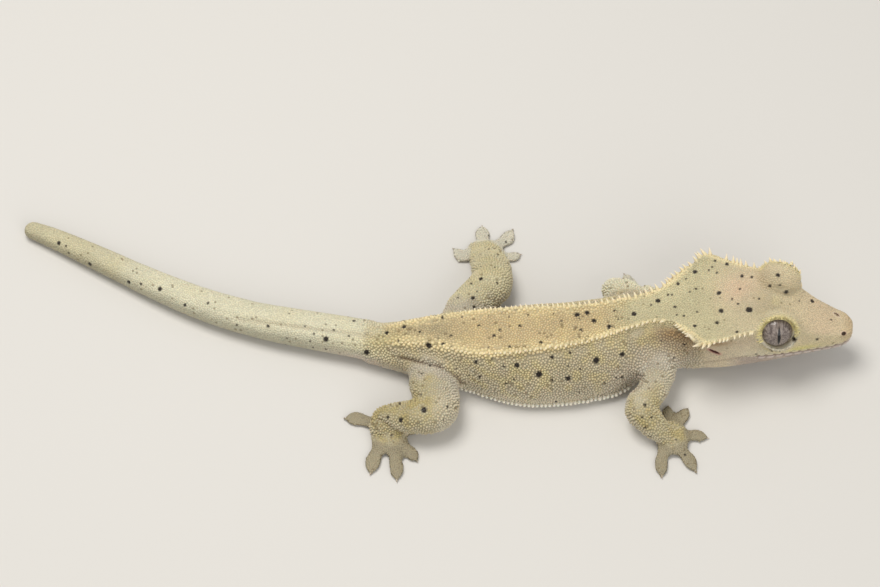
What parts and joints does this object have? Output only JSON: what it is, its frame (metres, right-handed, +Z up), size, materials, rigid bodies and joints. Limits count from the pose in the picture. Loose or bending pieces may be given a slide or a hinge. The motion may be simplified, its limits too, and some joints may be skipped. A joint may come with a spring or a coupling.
{
  "type": "crested gecko",
  "caption": "Still life-size crested gecko, cream with dark spots, lying flat with legs spread, toe pads, crested head and curved tail.",
  "frame": {"origin": "middle of the whole animal's box on the floor it rests on", "axes": "+X the way the head points, +Y the animal's left, +Z up"},
  "size_m": [0.175, 0.0642, 0.0201],
  "materials": {
    "skin": "soft granular reptile skin, cream with dark spots",
    "eye": "wet glossy eyeball with a vertical slit pupil"
  },
  "bodies": {
    "root": {"head": "skin", "lower_jaw": "skin", "neck": "skin", "trunk": "skin", "tail_base": "skin", "tail_middle": "skin", "tail_tip": "skin", "upper_arm_right": "skin", "forearm_right": "skin", "hand_right": "skin", "upper_arm_left": "skin", "forearm_left": "skin", "hand_left": "skin", "thigh_right": "skin", "shank_right": "skin", "foot_right": "skin", "thigh_left": "skin", "shank_left": "skin", "foot_left": "skin", "eye_left": "eye", "eye_right": "eye"}
  },
  "joints": []
}
